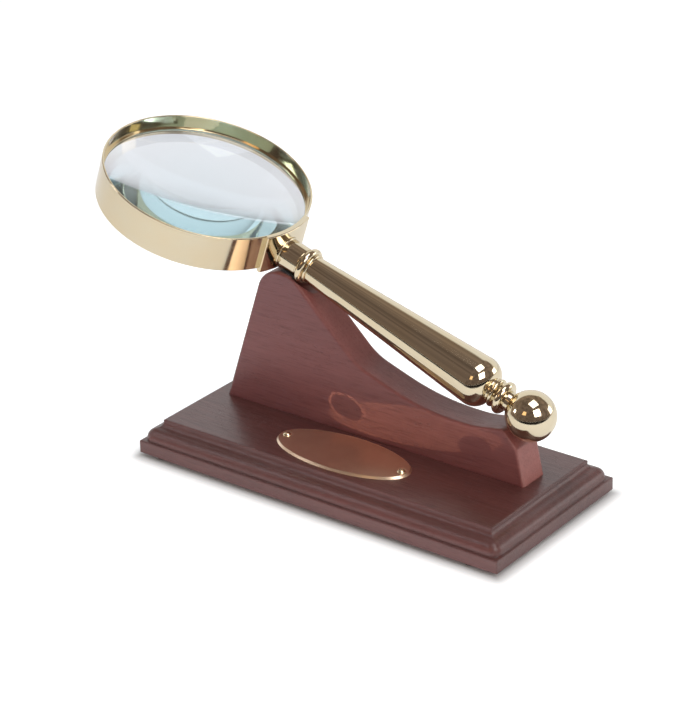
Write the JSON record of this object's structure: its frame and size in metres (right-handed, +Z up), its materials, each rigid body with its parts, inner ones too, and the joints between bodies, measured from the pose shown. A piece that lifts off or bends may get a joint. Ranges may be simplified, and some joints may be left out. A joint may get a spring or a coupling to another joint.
{
  "type": "magnifying glass",
  "caption": "Brass magnifying glass with a tapered handle and ball end, resting in the felt-lined cradle of a moulded wooden desk stand with a blank oval plate.",
  "frame": {"origin": "on the surface that the feet stand on, under the middle of the whole object's box in X and Y; the base board's middle is at x 25 mm, y -5.6 mm", "axes": "+X along the stand from the ring end to the ball end, +Y from the name plate's side to the back, +Z up"},
  "size_m": [0.253, 0.1052, 0.1412],
  "materials": {
    "base_wood": "dark red-brown stain under satin lacquer",
    "upright_wood": "red-brown stain under satin lacquer",
    "polished_brass": "mirror polished",
    "ring_brass": "mirror polished rolled strip",
    "inner_brass": "as machined",
    "plate_brass": "satin bronze lacquer",
    "pin_brass": "polished",
    "lens_glass": "clear, polished faces and ground edge",
    "felt": "black felt",
    "foot_rubber": "matte",
    "screw_steel": "zinc plated"
  },
  "bodies": {
    "stand": {"base_board": "base_wood", "upright": "upright_wood", "neck_felt": "felt", "upright_screws": "screw_steel", "foot_front_ring_end": "foot_rubber", "foot_front_ball_end": "foot_rubber", "foot_back_ring_end": "foot_rubber", "foot_back_ball_end": "foot_rubber", "name_plate": "plate_brass", "plate_pin_left": "pin_brass", "plate_pin_right": "pin_brass"},
    "magnifier": {"ball_finial": "polished_brass", "end_bead": "polished_brass", "end_disc": "polished_brass", "handle_rear_bush": "inner_brass", "handle_tube": "polished_brass", "handle_front_bush": "inner_brass", "neck_collar": "polished_brass", "neck_bead": "polished_brass", "tie_rod": "inner_brass", "ferrule": "polished_brass", "yoke_plate": "polished_brass", "yoke_rivets": "inner_brass", "ring_band": "ring_brass", "lens_seat_ring": "ring_brass", "lens": "lens_glass", "lens_retaining_ring": "ring_brass"}
  },
  "joints": [
    {"name": "lift_off", "type": "slide", "parent": "stand", "child": "magnifier", "axis": [0.3264, 0, 0.9452], "range_m": [0, 0.12]}
  ]
}
